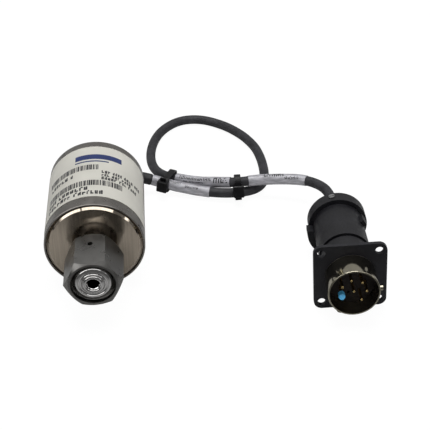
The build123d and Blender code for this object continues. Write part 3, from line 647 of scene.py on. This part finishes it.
def sleeve_points(line, start, end, inner, outer, wave, draw, steps=56, around=40):
    """A thin walled tube: a long closed profile of radius and distance, carried round the line.

    Its outer radius swells and narrows a little along its length and round it.
    """
    along = np.linspace(start, end, steps)
    along = np.concatenate([[start], along, [end], along[::-1]])
    radius = np.full(len(along), inner)
    radius[1:steps + 1] = outer
    radius[1] = outer - 0.3 * (outer - inner)
    radius[steps] = radius[1]
    angle = np.linspace(0, 2 * np.pi, around, endpoint=False)[:, None]
    phase = draw.uniform(0, 2 * np.pi, 3)
    shape = (np.sin(2 * angle + along * 420 + phase[0]) + np.sin(along * 900 + phase[1])
             + 0.6 * np.sin(3 * angle - along * 700 + phase[2]))
    swell = np.zeros(len(along))
    swell[2:steps] = wave
    reach = radius + swell * shape / 2.6
    centre, _, side, up = line.at(along)
    return centre + reach[..., None] * (np.cos(angle)[..., None] * side + np.sin(angle)[..., None] * up)


# Operators

class PSW_OT_studio(bpy.types.Operator):
    """Camera, floor, room light and four soft panels"""
    bl_idname = "psw.studio"
    bl_label = "Studio"

    def execute(self, context):
        settings = context.scene.psw_studio
        scene = context.scene
        scene.view_settings.view_transform = "Standard"
        data = bpy.data.cameras.new("camera")
        data.lens = settings.focal_length
        data.sensor_width = 36.0
        data.clip_start = 0.01
        data.clip_end = 20.0
        camera = bpy.data.objects.new("camera", data)
        camera.location = settings.camera_place
        camera.rotation_euler = settings.camera_turn
        scene.collection.objects.link(camera)
        scene.camera = camera
        self.floor(scene)
        self.room(scene, settings)
        key, side, fill = settings.key_power, settings.side_power, settings.fill_power
        self.panel(scene, "key_panel", (0.02, 0.16, 0.75), (-12.0, 0.0, 0.0), (0.55, 0.40), key)
        self.panel(scene, "left_panel", (-0.62, -0.18, 0.42), (0.0, -56.0, 20.0), (0.5, 0.5), 0.35 * side)
        self.panel(scene, "right_panel", (0.70, -0.10, 0.45), (0.0, 57.0, -12.0), (0.5, 0.5), side)
        front = self.panel(scene, "front_fill", (0.05, -0.75, 0.40), (62.0, 0.0, 0.0), (0.5, 0.4), fill)
        front.visible_glossy = False
        return {"FINISHED"}

    def floor(self, scene):
        """A wide white floor with a faint shadow. In reflections it is darker, with painted shade that is
        darkest in front.
        """
        half = 3.0
        corners = np.array([[-half, -half, 0.0], [half, -half, 0.0], [half, half, 0.0], [-half, half, 0.0]])
        mesh = bpy.data.meshes.new("studio_floor")
        mesh.from_pydata((corners - (0.0, 0.0, 0.02 * MM)).tolist(), [], [[0, 1, 2, 3]])
        floor = bpy.data.objects.new("studio_floor", mesh)
        scene.collection.objects.link(floor)
        material = bpy.data.materials.new("studio_floor")
        material.use_nodes = True
        tree = material.node_tree
        tree.nodes.remove(tree.nodes["Principled BSDF"])
        diffuse = add(tree, "ShaderNodeBsdfDiffuse", {"Color": (0.86, 0.86, 0.86, 1.0)})
        white = add(tree, "ShaderNodeEmission", {"Color": (1.0, 1.0, 1.0, 1.0), "Strength": 1.06})
        rays = add(tree, "ShaderNodeLightPath")
        seen = maths(tree, "MAXIMUM", rays.outputs["Is Camera Ray"], rays.outputs["Is Transmission Ray"])
        part = maths(tree, "MULTIPLY", seen, 0.90)
        y = split(tree, add(tree, "ShaderNodeTexCoord").outputs["Object"])[1]
        # Painted shade in the floor's colour as seen in reflections: dark in front, lighter near the can.
        front = span(tree, y, -0.075, -0.045, 0.10, 0.46)
        tone = add(tree, "ShaderNodeMix", {"Factor": rays.outputs["Is Glossy Ray"], 2: 0.86, 3: front})
        tree.links.new(tone.outputs[0], diffuse.inputs["Color"])
        mix = add(tree, "ShaderNodeMixShader", {0: part, 1: diffuse.outputs[0], 2: white.outputs[0]})
        tree.links.new(mix.outputs[0], tree.nodes["Material Output"].inputs["Surface"])
        mesh.materials.append(material)

    def room(self, scene, settings):
        """Even light from all round, and a dimmer room with a broken band of light for reflections.

        The band lies over the front, where the direction's Y is near -0.5, with two gaps across X.
        """
        world = bpy.data.worlds.new("room")
        scene.world = world
        world.use_nodes = True
        tree = world.node_tree
        light = tree.nodes["Background"]
        light.inputs["Color"].default_value = (1.0, 1.0, 1.0, 1.0)
        light.inputs["Strength"].default_value = settings.room_light
        rays = add(tree, "ShaderNodeLightPath")
        seen = maths(tree, "MAXIMUM", rays.outputs["Is Camera Ray"], rays.outputs["Is Transmission Ray"])
        shown = add(tree, "ShaderNodeBackground", {"Color": (1.0, 1.0, 1.0, 1.0), "Strength": 1.0})
        x, y, z = split(tree, add(tree, "ShaderNodeTexCoord").outputs["Generated"])
        depth = span(tree, y, -0.9, 0.9, 0.10, 0.38)
        band = maths(tree, "MULTIPLY", self.window(tree, y, -0.62, -0.37, 0.02),
                     self.window(tree, z, 0.20, 1.0, 0.05))
        for low, high in ((-0.405, -0.355), (0.56, 0.84)):
            gap = self.window(tree, x, low, high, 0.01)
            band = maths(tree, "MULTIPLY", band, maths(tree, "SUBTRACT", 1.0, gap))
        total = maths(tree, "MULTIPLY_ADD", band, settings.band_light, depth)
        mirrored = add(tree, "ShaderNodeBackground", {"Color": (1.0, 1.0, 1.0, 1.0), "Strength": total})
        first = add(tree, "ShaderNodeMixShader", {
            0: rays.outputs["Is Glossy Ray"], 1: light.outputs[0], 2: mirrored.outputs[0]})
        last = add(tree, "ShaderNodeMixShader", {0: seen, 1: first.outputs[0], 2: shown.outputs[0]})
        tree.links.new(last.outputs[0], tree.nodes["World Output"].inputs["Surface"])

    def window(self, tree, value, low, high, edge):
        """One between two values and nothing outside them, with soft edges."""
        rise = span(tree, value, low - edge, low + edge)
        fall = span(tree, value, high - edge, high + edge, 1.0, 0.0)
        return maths(tree, "MULTIPLY", rise, fall)

    def panel(self, scene, name, place, turn_deg, size, power):
        data = bpy.data.lights.new(name, "AREA")
        data.shape = "RECTANGLE"
        data.size, data.size_y = size
        data.energy = power
        light = bpy.data.objects.new(name, data)
        light.location = place
        light.rotation_euler = [math.radians(t) for t in turn_deg]
        scene.collection.objects.link(light)
        return light


class PSW_OT_can(bpy.types.Operator):
    """Finishes of the can, its plates, its screws and the pieces inside"""
    bl_idname = "psw.can"
    bl_label = "Can"

    def execute(self, context):
        settings = context.scene.psw_can
        axis = (0.0, 0.0, CAN_Z)
        tube = machined("can_steel", settings.tube_colour, 0.30, axis, 0.0010 * MM, 7000.0, 0.06)
        plate = plate_finish(settings)
        assign(["case_tube"], tube)
        assign(["front_plate", "rear_cap"], plate)
        steel = machined("screw_steel", (0.52, 0.52, 0.51), 0.28, axis)
        assign(["cap_screws", "board_posts", "post_studs"], steel)
        alloy = machined("cell_alloy", (0.46, 0.45, 0.43), 0.26, axis)
        assign(["inlet_baffle", "cell_ring", "diaphragm", "ring_spring", "reference_cover"], alloy)
        assign(["electrode_disc"], moulded("cell_ceramic", (0.80, 0.78, 0.72), 0.5))
        assign(["pinch_tube"], machined("soft_copper", (0.72, 0.38, 0.22), 0.32, axis))
        assign(["glass_beads"], moulded("seal_glass", (0.10, 0.22, 0.18), 0.12))
        assign(["feedthrough_pins"], machined("pin_plating", (0.75, 0.55, 0.25), 0.22, axis))
        assign(["signal_board", "relay_board"], moulded("board_laminate", (0.02, 0.16, 0.05), 0.35))
        assign(["relay", "capacitors", "chips"], moulded("component_black", (0.015, 0.015, 0.016), 0.4))
        assign(["trimmers"], moulded("component_blue", (0.03, 0.11, 0.40), 0.3))
        assign(["adjuster_plugs"], moulded("plug_rubber", (0.02, 0.02, 0.02), 0.6))
        assign(["lead_wires", "connector_leads"], moulded("lead_cover", (0.55, 0.50, 0.42), 0.4))
        return {"FINISHED"}


class PSW_OT_port(bpy.types.Operator):
    """Finishes of the gland and the coupling nut, and the nut's thread"""
    bl_idname = "psw.port"
    bl_label = "Port"

    def execute(self, context):
        settings = context.scene.psw_can
        axis = (0.0, 0.0, CAN_Z)
        nut = machined("nut_steel", settings.nut_colour, 0.30, axis, 0.0003 * MM, 5000.0, 0.03)
        gland = machined("gland_steel", settings.gland_colour, 0.06, axis, 0.0001 * MM, 9000.0, 0.02)
        assign(["coupling_nut"], nut)
        assign(["gland"], gland)
        self.thread(nut)
        return {"FINISHED"}

    def thread(self, material):
        """A ridge along the helix (r cos t, y0 + p t / 2 pi, r sin t), with a triangular closed section."""
        turns, pitch, root, crest = 6, 1.411 * MM, 7.16 * MM, 6.98 * MM
        angle = np.linspace(0, 2 * np.pi * turns, turns * 48 + 1)[:, None]
        fade = np.clip(np.minimum(angle, angle[-1] - angle) / np.pi, 0.05, 1.0)
        section_r = np.array([root, crest, root])
        radius = root - (root - section_r) * fade
        along = NUT_FRONT + 4.4 * MM + pitch * angle / (2 * np.pi) + np.array([-0.42, 0.0, 0.42]) * pitch
        points = np.stack([radius * np.cos(angle), along, CAN_Z + radius * np.sin(angle)], axis=-1)
        mesh = surface_mesh("nut_thread", capped(points), wrap_columns=True)
        piece("nut_thread", mesh, material, NUT)


class PSW_OT_label(bpy.types.Operator):
    """Label film round the can, with a heading band, rows of bars and lines of small strokes"""
    bl_idname = "psw.label"
    bl_label = "Label"

    def execute(self, context):
        settings = context.scene.psw_label
        film = film_finish(settings)
        obj = piece("label_film", self.film(), film)
        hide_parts("label")
        ink = moulded("label_ink", settings.ink_colour, 0.40, 0.002 * MM)
        band = moulded("label_band_ink", settings.band_colour, 0.38, 0.002 * MM)
        draw = np.random.default_rng(12)
        small = []
        for row in BAR_ROWS:
            small += bar_row(draw, *row)
        for line in PRINT_LINES:
            small += dash_line(draw, *line)
        piece("label_small_print", ink_mesh("label_small_print", small, can_surface, 0.02 * MM), ink)
        heading = ink_mesh("label_heading", HEADING, can_surface, 0.02 * MM, 40)
        piece("label_heading", heading, band)
        return {"FINISHED"}

    def film(self):
        """Film between two radii: its closed section of radius and length, carried over its angles."""
        low, high = label_low.y, label_high.y
        inner, outer, edge = CAN_R + 0.03 * MM, FILM_R, 0.05 * MM
        section = np.array([(inner, low), (outer - edge, low), (outer, low + edge), (outer, high - edge),
                            (outer - edge, high), (inner, high)])
        angle = np.radians(np.linspace(11.0, 214.0, 161))[:, None]
        radius, along = section.T
        x = radius * np.cos(angle)
        points = np.stack([x, np.broadcast_to(along, x.shape), CAN_Z + radius * np.sin(angle)], axis=-1)
        return surface_mesh("label_film", capped(points), wrap_columns=True)


class PSW_OT_cable(bpy.types.Operator):
    """The cable's jacket, its strain relief, boot and marker sleeves with their print"""
    bl_idname = "psw.cable"
    bl_label = "Cable"

    def execute(self, context):
        settings = context.scene.psw_cord
        line = CableLine()
        radius = settings.diameter / 2
        jacket = self.jacket(line, radius)
        jacket = piece("cable_jacket", jacket, jacket_finish(settings))
        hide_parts("cable")
        boot_finish = moulded("boot_black", (0.014, 0.014, 0.016), 0.42, 0.01 * MM, 1200.0)
        draw = np.random.default_rng(5)
        boot = sleeve_points(line, *BOOT_SPAN, radius + 0.06 * MM, radius + 0.34 * MM, 0.05 * MM, draw)
        boot = piece("cable_boot_skin", self.shell("cable_boot_skin", boot), boot_finish)
        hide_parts("cable_boot")
        relief_cone = piece("relief_cone", self.relief_cone(radius), boot_finish)
        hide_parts("strain_relief")
        finish = sleeve_finish(settings)
        ink = moulded("sleeve_ink", (0.012, 0.012, 0.014), 0.35, 0.002 * MM)
        for name, (start, end) in SLEEVE_SPANS.items():
            points = sleeve_points(line, start * MM, end * MM, radius + 0.05 * MM, radius + 0.23 * MM,
                                   0.04 * MM, draw)
            obj = piece(name + "_skin", self.shell(name + "_skin", points), finish)
            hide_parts(name)
        print_surface = line.surface(radius + 0.27 * MM)
        marks = self.sleeve_marks(draw)
        words = piece("sleeve_print", ink_mesh("sleeve_print", marks, print_surface, 0.02 * MM, 3), ink)
        tie = moulded("tie_black", (0.004, 0.004, 0.005), 0.40, sockets={"Specular IOR Level": 0.3})
        assign(["cable_tie_left", "cable_tie_right"], tie)
        return {"FINISHED"}

    def jacket(self, line, radius):
        """A tube round the line, c(s) + r (cos a side + sin a up), whose radius has slow slanting ridges."""
        along = np.linspace(0.0, line.length, 900)
        angle = np.linspace(0, 2 * np.pi, 36, endpoint=False)
        centre, _, side, up = line.at(along)
        lay = 0.018 * MM * np.sin(5 * angle + along[:, None] / (13.0 * MM) * 2 * np.pi)
        reach = (radius - 0.018 * MM + lay)[..., None]
        across = np.cos(angle)[:, None] * side[:, None] + np.sin(angle)[:, None] * up[:, None]
        points = centre[:, None] + reach * across
        return surface_mesh("cable_jacket", capped(points), wrap_columns=True, sharp_deg=50.0)

    def shell(self, name, points):
        return surface_mesh(name, points, wrap_rows=True, wrap_columns=True, sharp_deg=50.0)

    def relief_cone(self, radius):
        """A cone with ring grooves, turned about the cable's exit, with a stem through the rear cap."""
        low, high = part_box("strain_relief")
        x, _, z = CABLE_ROUTE[0]
        bore, stem = radius + 0.15 * MM, 3.22 * MM
        base, tip = 3.9 * MM, 2.75 * MM
        cap = CAP_BACK
        rings = 5
        share = np.linspace(0.0, 1.0, rings * 12 + 1)
        reach = base + (tip - base) * share - 0.22 * MM * (np.cos(share * rings * 2 * np.pi) < -0.4)
        cone = np.stack([reach, cap + share * (high.y - cap)], axis=-1)
        profile = np.concatenate([[(bore, low.y), (stem, low.y), (stem, cap)], cone, [(bore, high.y)]])
        return surface_mesh("relief_cone", turned(profile, 72, (x, z)), wrap_rows=True, wrap_columns=True)

    def sleeve_marks(self, draw):
        """Lines of small strokes along each sleeve: uprights of 0.3 mm, some joined by a bar to the next."""
        marks = []
        for start, end, low, high, stroke in SLEEVE_LINES:
            place = start
            while place < end:
                marks.append((low, low + (high - low) * draw.uniform(0.6, 1.0), place, place + stroke))
                step = stroke * draw.uniform(1.8, 2.6)
                if draw.random() < 0.55:
                    level = low + (high - low) * draw.choice([0.0, 0.4, 0.75])
                    marks.append((level, level + (high - low) * 0.22, place + stroke, place + step))
                place += step
        return marks


class PSW_OT_connector(bpy.types.Operator):
    """Finishes of the connector, its backshell, clamp, pins and blue cap"""
    bl_idname = "psw.connector"
    bl_label = "Connector"

    def execute(self, context):
        settings = context.scene.psw_connector
        assign(["receptacle_shell"], two_tone_shell(settings))
        black = moulded("black_finish", settings.body_colour, 0.44, 0.006 * MM, 2200.0,
                        sockets={"Specular IOR Level": 0.4})
        assign(["ring_nut", "backshell_body", "clamp_upper", "clamp_lower"], black)
        dark = moulded("insert_dark", (0.014, 0.010, 0.010), 0.55, sockets={"Specular IOR Level": 0.3})
        assign(["pin_insert", "rear_grommet"], dark)
        assign(["contact_pins"], machined("pin_gold", settings.pin_colour, 0.20, FLANGE_AT))
        assign(["blue_pin_cap"], moulded("cap_blue", (0.11, 0.53, 1.0), 0.30))
        assign(["clamp_screw"], machined("clamp_screw_steel", (0.60, 0.60, 0.60), 0.22, FLANGE_AT))
        return {"FINISHED"}


class PSW_PT_panel(bpy.types.Panel):
    """Lists the pieces and their settings"""
    bl_label = "Pressure Switch"
    bl_idname = "PSW_PT_panel"
    bl_space_type = "VIEW_3D"
    bl_region_type = "UI"
    bl_category = "Pressure Switch"

    def draw(self, context):
        for operator, settings in STEPS:
            self.layout.operator(operator)
            group = getattr(context.scene, settings)
            for name in group.bl_rna.properties.keys():
                if name not in ("rna_type", "name"):
                    self.layout.prop(group, name)


STEPS = [("psw.studio", "psw_studio"), ("psw.can", "psw_can"), ("psw.port", "psw_can"),
         ("psw.label", "psw_label"), ("psw.cable", "psw_cord"), ("psw.connector", "psw_connector")]
SETTINGS = {"psw_studio": StudioSettings, "psw_can": CanSettings, "psw_label": LabelSettings,
            "psw_cord": CordSettings, "psw_connector": ConnectorSettings}
CLASSES = [*SETTINGS.values(), PSW_OT_studio, PSW_OT_can, PSW_OT_port, PSW_OT_label, PSW_OT_cable,
           PSW_OT_connector, PSW_PT_panel]


def register():
    for cls in CLASSES:
        bpy.utils.register_class(cls)
    for name, cls in SETTINGS.items():
        setattr(bpy.types.Scene, name, bpy.props.PointerProperty(type=cls))


def unregister():
    for name in SETTINGS:
        delattr(bpy.types.Scene, name)
    for cls in reversed(CLASSES):
        bpy.utils.unregister_class(cls)


def main():
    register()
    for operator, _ in STEPS:
        group, name = operator.split(".")
        getattr(getattr(bpy.ops, group), name)()
    bpy.context.view_layer.update()


if __name__ == "__main__":
    main()
